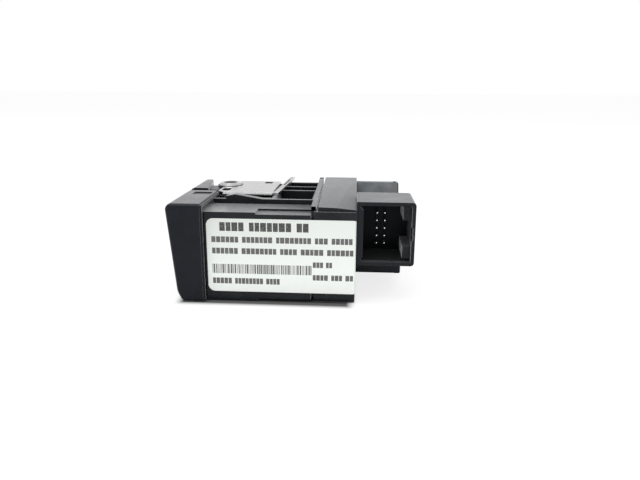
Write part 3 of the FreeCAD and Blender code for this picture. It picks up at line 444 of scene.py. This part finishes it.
def dress(made, name, material, body="switch_body", replaced=None):
    """Cleans a finished form, gives it its name and finish, and ties it to the part."""
    clean(made.data)
    made.name = name
    made.data.materials.clear()
    made.data.materials.append(material)
    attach(made, body)
    if replaced:
        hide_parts(replaced)


# The front profile that the trim and the lever share, as (height, depth) from the floor up
FOOT_DEPTH = 6.9
KINK_HEIGHT, KINK_DEPTH = 3.2, 8.5
FACE_TOP, FACE_DEPTH = 32.0, 11.16
FACE_ROUND, KINK_ROUND = 2.0, 6.0
HINGE = (1.8, 38.5)
HINGE_BORE = 2.05


def face_corners(low):
    """The front corners of the shared profile, from the top down to a lower level."""
    return [
        (-FACE_DEPTH, FACE_TOP, FACE_ROUND),
        (-KINK_DEPTH, KINK_HEIGHT, KINK_ROUND),
        (-FOOT_DEPTH, low, FACE_ROUND),
    ]


def make_trim():
    width, wall = 25.5, 1.4
    section = [(0.0, FACE_TOP, 0)] + face_corners(0.0) + [(0.0, 0.0, 0)]
    trim = solid("Y", 0.0, width, [rounded(section)])
    round_rims(trim, 1.0, lambda x, y, z: x < -0.5 and (close(y, 0.0) or close(y, width)), 4)
    rear_lip = solid("X", -0.5, 0.6, [box_ring(0.5, width - 0.5, 0.5, FACE_TOP - 0.5)])
    join(trim, rear_lip)
    roof = FACE_TOP - wall
    hollow = [(0.7, roof, 0), (-9.6, roof, 1.0), (-7.0, 3.6, 4.0), (-5.4, wall, 1.0), (0.7, wall, 0)]
    cut(trim, solid("Y", wall, width - wall, [rounded(hollow)]))
    top_mark = solid("Z", 31.6, 32.5, [box_ring(-6.8, -0.7, 17.0, 21.5)])
    cut(trim, top_mark)
    under_mark = solid("Z", -0.5, 1.5, [box_ring(-5.0, -2.4, 8.0, 14.0)])
    cut(trim, under_mark)
    light_bore = solid("X", -11.5, -4.0, [ring_of((21.8, 16.0), 2.05)])
    cut(trim, light_bore)
    dress(trim, "TrimShell", BLACK["trim"], replaced="front_trim")


def lever_section(thickness):
    """The paddle's section; its thickness is that at the top, and less at the kink and the foot."""
    back = [
        (thickness - 2.5 - FOOT_DEPTH, 0.4, 0.6),
        (thickness - 0.8 - KINK_DEPTH, KINK_HEIGHT, 3.0),
        (thickness - FACE_DEPTH, FACE_TOP, 0.5),
    ]
    return rounded(face_corners(0.4) + back)


def make_lever():
    root, tip = 29.0, 48.6
    lever = solid("Y", root, tip, [lever_section(6.9)], [lever_section(4.0)])
    round_rims(lever, 0.8, lambda x, y, z: close(y, tip), 3)
    nose = [(-7.5, 2.1), (-8.1, 3.4), (-10.76, 30.3), (-7.16, 30.3), (-4.5, 3.4), (-3.5, 2.1)]
    join(lever, solid("Y", root - 1.1, root + 0.2, [nose]))
    for inner, low, high in ((-8.5, 28.9, 30.6), (-6.1, 0.7, 3.0)):
        cheek = [(inner, 33.5), (3.3, 34.0), (3.3, 43.0), (inner, 43.0)]
        join(lever, solid("Z", low, high, [cheek]))
        join(lever, solid("Z", low - 0.01, high + 0.01, [ring_of(HINGE, 4.8)]))
        cut(lever, solid("Z", low - 1.0, high + 1.0, [ring_of(HINGE, HINGE_BORE)]))
    arm_low, arm_high = 10.8, 15.2
    arm = [(-6.1, 29.6), (4.8, 29.2), (4.8, 31.2), (-6.1, 33.6)]
    join(lever, solid("Z", arm_low, arm_high, [arm]))
    join(lever, solid("Z", arm_low - 0.01, arm_high + 0.01, [ring_of((4.8, 28.5), 1.4, 24)]))
    lens_seat = solid("X", -12.0, -8.2, [box_ring(34.25, 43.35, 11.45, 20.55)])
    cut(lever, lens_seat)
    dress(lever, "LeverPaddle", BLACK["trim"], "brake_lever", "pull_lever")


PLATE_LOW, PLATE_HIGH = 30.92, 31.8
PLATE_NEAR, PLATE_FAR = 23.2, 47.4
PLATE_END = 19.5
EYELET_BORE = 2.4


def make_blade():
    """The clip's rising tongue, with a rounded tip and a slot along its far part."""
    near, far = 24.0, 46.5
    root, tip = box_ring(19.9, 21.6, 30.9, PLATE_HIGH), box_ring(23.2, 24.9, 32.9, 33.8)
    blade = solid("Y", near, far, [root], [tip])
    round_rims(blade, 0.6, lambda x, y, z: close(y, far) and 33.1 < z < 33.6)
    middle, lean, half = 20.75, 3.3 / (far - near), 0.25
    start, end = (middle + lean * run for run in (10.0, 18.5))
    gap = [(start - half, 34.0), (start + half, 34.0), (end + half, 42.5), (end - half, 42.5)]
    cut(blade, solid("Z", 30.0, 34.0, [gap]))
    return blade


def make_clip():
    """The sprung steel plate: slot, eye, drawn eyelet, bent near lip and rising tongue."""
    outline = [
        (0.2, 25.4), (2.4, PLATE_NEAR), (PLATE_END, PLATE_NEAR), (PLATE_END, PLATE_FAR), (4.2, PLATE_FAR),
        (4.2, 42.0), (0.2, 40.0),
    ]
    eye = rounded([(u, v, 1.4) for u, v in box_ring(1.0, 4.0, 25.9, 31.2)], 4)
    slot = rounded([(u, v, 0.3) for u, v in box_ring(13.8, 16.6, 42.4, 46.0)], 3)
    clip = solid("Z", PLATE_LOW, PLATE_HIGH, [outline, eye, slot])
    join(clip, solid("Z", PLATE_LOW + 0.01, PLATE_HIGH - 0.01, [ring_of(HINGE, 4.6)]))
    cut(clip, solid("Z", 30.0, 33.0, [ring_of(HINGE, EYELET_BORE)]))
    lip = [(23.3, PLATE_HIGH), (23.3, 31.25), (22.0, PLATE_LOW), (22.0, 31.4)]
    join(clip, solid("X", 2.4, PLATE_END, [lip]))
    bore = ring_of(HINGE, EYELET_BORE + 0.01)
    join(clip, solid("Z", 31.6, 32.7, [ring_of(HINGE, 4.2), bore], [ring_of(HINGE, 3.7), bore]))
    bridge = solid("Z", PLATE_LOW, PLATE_HIGH, [box_ring(PLATE_END - 0.1, 21.6, PLATE_NEAR, 25.6)])
    join(clip, bridge)
    join(clip, make_blade())
    dress(clip, "ClipPlate", STEEL, replaced="retaining_clip")
    # painted shade: a dark ring round the eyelet's foot
    foot = solid("Z", 31.7, 31.95, [ring_of(HINGE, 4.55), ring_of(HINGE, 3.9)])
    dress(foot, "EyeletFootShade", BORE_SHADE_STEEL)
    # painted shade: a dark disc that closes the eyelet's bore
    floor = solid("Z", 31.9, 32.25, [ring_of(HINGE, EYELET_BORE - 0.01)])
    dress(floor, "EyeletBoreShade", BORE_SHADE_STEEL)


COVER_END = 48.3
BOX_SIDE = 48.35


def make_cover():
    """What rises on the rear cover and beside it: the sloping pad and the strip."""
    base, top = 29.5, 33.48
    near_tops = [(36.5, 31.13), (42.0, 30.98), (COVER_END, 30.38)]
    feet = [(COVER_END, base), (36.5, base)]
    pad = solid("Y", 2.98, 46.7, [near_tops + feet], [[(x, top) for x, _ in near_tops] + feet])
    round_rims(pad, 0.25, lambda x, y, z: close(x, COVER_END) and z > 30.0, 2)
    dress(pad, "CoverPad", BLACK["housing"])
    left, right, foot = 34.32, 35.78, 29.9
    strip = solid("Y", 3.5, 45.0, [box_ring(left, right, foot, 31.23)], [box_ring(left, right, foot, 33.45)])
    # painted highlight: the strip is dressed in the paler plastic
    dress(strip, "CoverStrip", BLACK["ridge"])


def make_box():
    """The board box's rounded end and the ridge along its far side, with a slope in paler plastic as painted
    light.
    """
    near, far, low, deck, ridge_top, end = 21.46, 47.54, 4.46, 28.04, 32.5, 64.0
    section = [
        (near, low), (far, low), (far, ridge_top), (44.85, ridge_top), (42.0, deck), (30.04, deck),
        (30.04, 30.54), (near, 30.54),
    ]
    box = solid("X", end - 2.0, end, [section])
    round_rims(box, 0.5, lambda x, y, z: close(x, end))
    dress(box, "BoxEnd", BLACK["housing"])
    profile = [(41.95, 27.9), (far, 27.9), (far, ridge_top), (44.85, ridge_top)]
    dress(solid("X", BOX_SIDE, 63.0, [profile]), "BoxRidge", BLACK["housing"])
    slope = [(41.92, 28.02), (42.4, 28.02), (45.0, 32.54), (44.78, 32.54)]
    dress(solid("X", BOX_SIDE, 63.6, [slope]), "RidgeFace", BLACK["ridge"])


def make_socket():
    """The shroud's side against the collar, and a dark liner in the socket as painted shade."""
    side = solid("X", 48.42, 49.05, [box_ring(3.0, 20.2, 12.8, 33.0)])
    dress(side, "SocketSide", BLACK["connector"])
    walls = [box_ring(50.48, 65.52, 13.88, 31.92), box_ring(50.56, 65.44, 13.96, 31.84)]
    socket_shade = solid("Y", 5.2, 18.62, walls)
    join(socket_shade, solid("Y", 18.52, 18.62, [box_ring(50.5, 65.5, 13.9, 31.9)]))
    dress(socket_shade, "SocketShadeLiner", BLACK["socket_shade"])


# ----------------------------------------------------------------- label
# It starts close behind the trim, lies on the labelled side and turns round the collar's rear corner
LABEL_START = 1.45
LABEL_LOW = 3.4
LABEL_HIGH = 27.27
LABEL_FACE = 1.88
LABEL_THICKNESS = 0.12
INK_LIFT = 0.012
BEND_CENTRE = (47.82, 2.48)
BEND_RADIUS = 0.60
LABEL_CORNER = 2.2
BEND_START = BEND_CENTRE[0] - LABEL_START
BEND_RUN = BEND_RADIUS * math.pi / 2
LABEL_LENGTH = BEND_START + BEND_RUN + 1.0


def label_point(along, height, lift):
    """A place on the label from its left edge and the floor, lifted off its face."""
    if along <= BEND_START:
        return at(LABEL_START + along, LABEL_FACE - lift, height)
    turn = min((along - BEND_START) / BEND_RADIUS, math.pi / 2)
    reach = BEND_RADIUS + lift
    x = BEND_CENTRE[0] + reach * math.sin(turn)
    y = BEND_CENTRE[1] - reach * math.cos(turn)
    beyond = max(0.0, along - BEND_START - BEND_RUN)
    return at(x, y + beyond, height)


def label_piece(name, vertices, faces, material):
    """A mesh that rides the body and takes the given material."""
    mesh = bpy.data.meshes.new(name)
    mesh.from_pydata([tuple(v) for v in vertices], [], faces)
    mesh.materials.append(material)
    mesh.update()
    piece = bpy.data.objects.new(name, mesh)
    bpy.context.scene.collection.objects.link(piece)
    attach(piece, "switch_body")
    return piece


def label_columns():
    """Stations along the label, close together where it is rounded or bent."""
    stations = [LABEL_CORNER * (1 - math.cos(math.pi / 2 * k / 8)) for k in range(9)]
    middle = BEND_START - 1.0
    stations += [LABEL_CORNER + (middle - LABEL_CORNER) * k / 40 for k in range(1, 41)]
    stations += [middle + (LABEL_LENGTH - middle) * k / 24 for k in range(1, 25)]
    return stations


def label_edge(along):
    """How far the rounded corners draw the label's upper and lower edges in."""
    near_end = min(along, LABEL_LENGTH - along)
    if near_end >= LABEL_CORNER:
        return 0.0
    return LABEL_CORNER - math.sqrt(max(0.0, LABEL_CORNER ** 2 - (LABEL_CORNER - near_end) ** 2))


def make_label():
    """The sheet: a front and a back skin that follow the bend, joined along the border."""
    stations = label_columns()
    rows = 12
    vertices = []
    for lift in (0.0, -LABEL_THICKNESS + 0.01):
        for along in stations:
            inset = label_edge(along)
            low, high = LABEL_LOW + inset, LABEL_HIGH - inset
            for k in range(rows + 1):
                vertices.append(label_point(along, low + (high - low) * k / rows, lift))
    count = len(stations) * (rows + 1)
    faces = []
    for i in range(len(stations) - 1):
        for k in range(rows):
            a = i * (rows + 1) + k
            b = a + rows + 1
            faces.append((a, b, b + 1, a + 1))
            faces.append((a + count, a + 1 + count, b + 1 + count, b + count))
    border = [i * (rows + 1) for i in range(len(stations))]
    border += [(len(stations) - 1) * (rows + 1) + k for k in range(1, rows + 1)]
    border += [i * (rows + 1) + rows for i in reversed(range(len(stations) - 1))]
    border += [k for k in reversed(range(1, rows))]
    for here, there in zip(border, border[1:] + border[:1]):
        faces.append((here, here + count, there + count, there))
    sheet = label_piece("LabelSheet", vertices, faces, PAPER)
    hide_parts("label")


def print_bars(name, bars, material):
    """Printed marks: each is (start, end, low, high) on the label's face."""
    vertices, faces = [], []
    for start, end, low, high in bars:
        steps = max(1, int((end - start) / 1.5)) if end < BEND_START - 0.5 else 8
        base = len(vertices)
        for k in range(steps + 1):
            along = start + (end - start) * k / steps
            vertices.append(label_point(along, low, INK_LIFT))
            vertices.append(label_point(along, high, INK_LIFT))
        for k in range(steps):
            a = base + 2 * k
            faces.append((a, a + 2, a + 3, a + 1))
    label_piece(name, vertices, faces, material)


def dashes(start, end, low, high, letter, seed, gap=0.16):
    """A line of blank blocks in groups, as long as a printed line and with no letters in it."""
    dice = random.Random(seed)
    bars = []
    x = start
    while x < end - letter * 0.6:
        for _ in range(dice.randint(3, 8)):
            width = letter * dice.uniform(0.75, 1.0)
            if x + width > end:
                break
            bars.append((x, x + width, low, high))
            x += width + letter * gap
        x += letter * 0.75
    return bars


def make_print():
    """Blank blocks and stripes in the places of the printed lines."""
    heading = dashes(5.7 - LABEL_START, 34.2 - LABEL_START, 23.3, 26.1, 1.9, 3)
    print_bars("LabelHeading", heading, INK)
    lines = []
    for start, end, low, high, letter, seed in (
            (3.0, 48.0, 19.6, 21.5, 1.35, 11),
            (3.1, 48.6, 15.9, 17.8, 1.35, 12),
            (3.0, 24.5, 6.0, 7.9, 1.15, 13),
            (35.0, 41.3, 11.9, 13.7, 1.05, 14),
            (35.0, 48.6, 7.7, 9.5, 1.2, 15)):
        lines += dashes(start - LABEL_START, end - LABEL_START, low, high, letter, seed)
    print_bars("LabelLines", lines, THIN_INK)
    dice = random.Random(21)
    stripes = []
    x = 3.0 - LABEL_START
    while x < 34.4 - LABEL_START:
        width = dice.choice((0.16, 0.16, 0.32, 0.48))
        stripes.append((x, x + width, 9.4, 12.5))
        x += width + dice.choice((0.16, 0.2, 0.32))
    print_bars("LabelStripes", stripes, THIN_INK)


# ----------------------------------------------------------------- stage
# What the part stands on, as (axis, middle, half its width); a painted shadow darkens the floor within a
# short reach of it
FOOTPRINT = (("X", 19.5 - ROW_X, 26.2), ("Y", 12.3 - ROW_Y, 12.1))
PAINTED_SHADOW_REACH = 3.2
FLOOR_GLOW = 0.76
WORLD_LIGHT = 0.82


def floor_material():
    """White to the camera, with room for the part's shadow, and a painted shadow, dark where the part stands
    on it.
    """
    material = bpy.data.materials.new("FloorWhite")
    material.use_nodes = True
    tree = material.node_tree
    tree.nodes.clear()
    place = node(tree, "SeparateXYZ", {0: millimetres(tree)})
    distances = []
    for axis, centre, half in FOOTPRINT:
        away = calculate(tree, "ABSOLUTE", calculate(tree, "SUBTRACT", place.outputs[axis], centre))
        beyond = calculate(tree, "MAXIMUM", calculate(tree, "SUBTRACT", away, half), 0.0)
        distances.append(calculate(tree, "MULTIPLY", beyond, beyond))
    distance = calculate(tree, "SQRT", calculate(tree, "ADD", *distances))
    painted_shadow_fade = stretch(tree, distance, 0.0, PAINTED_SHADOW_REACH)
    # painted shadow: the floor's colour darkens and its glow fades near the footprint
    diffuse = node(tree, "BsdfDiffuse", {"Color": blend_colour(tree, painted_shadow_fade, grey(0.12), grey(0.92))})
    glow = node(tree, "Emission", {"Color": (1, 1, 1, 1), "Strength": 1.05})
    seen = node(tree, "LightPath").outputs["Is Camera Ray"]
    share = calculate(tree, "MULTIPLY", seen, calculate(tree, "MULTIPLY", painted_shadow_fade, FLOOR_GLOW))
    mixed = node(tree, "MixShader", {0: share, 1: diffuse.outputs[0], 2: glow.outputs[0]})
    node(tree, "OutputMaterial", {"Surface": mixed.outputs[0]})
    return material


def make_floor():
    half = 6.0
    corners = [(-half, -half, 0), (half, -half, 0), (half, half, 0), (-half, half, 0)]
    mesh = bpy.data.meshes.new("Floor")
    mesh.from_pydata(corners, [], [(0, 1, 2, 3)])
    mesh.materials.append(floor_material())
    floor = bpy.data.objects.new("Floor", mesh)
    bpy.context.scene.collection.objects.link(floor)


def make_world():
    """A white room: full white where it is seen or mirrored, a little less as light."""
    world = bpy.data.worlds.new("Studio")
    bpy.context.scene.world = world
    world.use_nodes = True
    tree = world.node_tree
    tree.nodes.clear()
    paths = node(tree, "LightPath")
    seen = calculate(tree, "MAXIMUM", paths.outputs["Is Camera Ray"], paths.outputs["Is Glossy Ray"])
    seen = calculate(tree, "MAXIMUM", seen, paths.outputs["Is Transmission Ray"])
    strength = stretch(tree, seen, 0.0, 1.0, WORLD_LIGHT, 1.0)
    backdrop = node(tree, "Background", {"Color": (1, 1, 1, 1), "Strength": strength})
    node(tree, "OutputWorld", {"Surface": backdrop.outputs[0]})


def make_lamp(name, place, size, energy):
    """A round lamp at a place in metres, aimed at the part's middle."""
    data = bpy.data.lights.new(name, "AREA")
    data.shape = "DISK"
    data.size = size
    data.energy = energy
    lamp = bpy.data.objects.new(name, data)
    lamp.location = place
    aim = Vector((0, 0, 0.015)) - Vector(place)
    lamp.rotation_euler = aim.to_track_quat("-Z", "Y").to_euler()
    bpy.context.scene.collection.objects.link(lamp)


make_camera()
finish_nodes()
make_trim()
make_lever()
make_clip()
make_cover()
make_box()
make_socket()
make_label()
make_print()
make_floor()
make_world()
make_lamp("KeyLamp", (-0.15, -0.25, 0.75), 0.7, 3.4)
make_lamp("RearLamp", (0.3, 0.5, 0.6), 0.5, 1.5)

bpy.context.scene.view_settings.view_transform = "Standard"
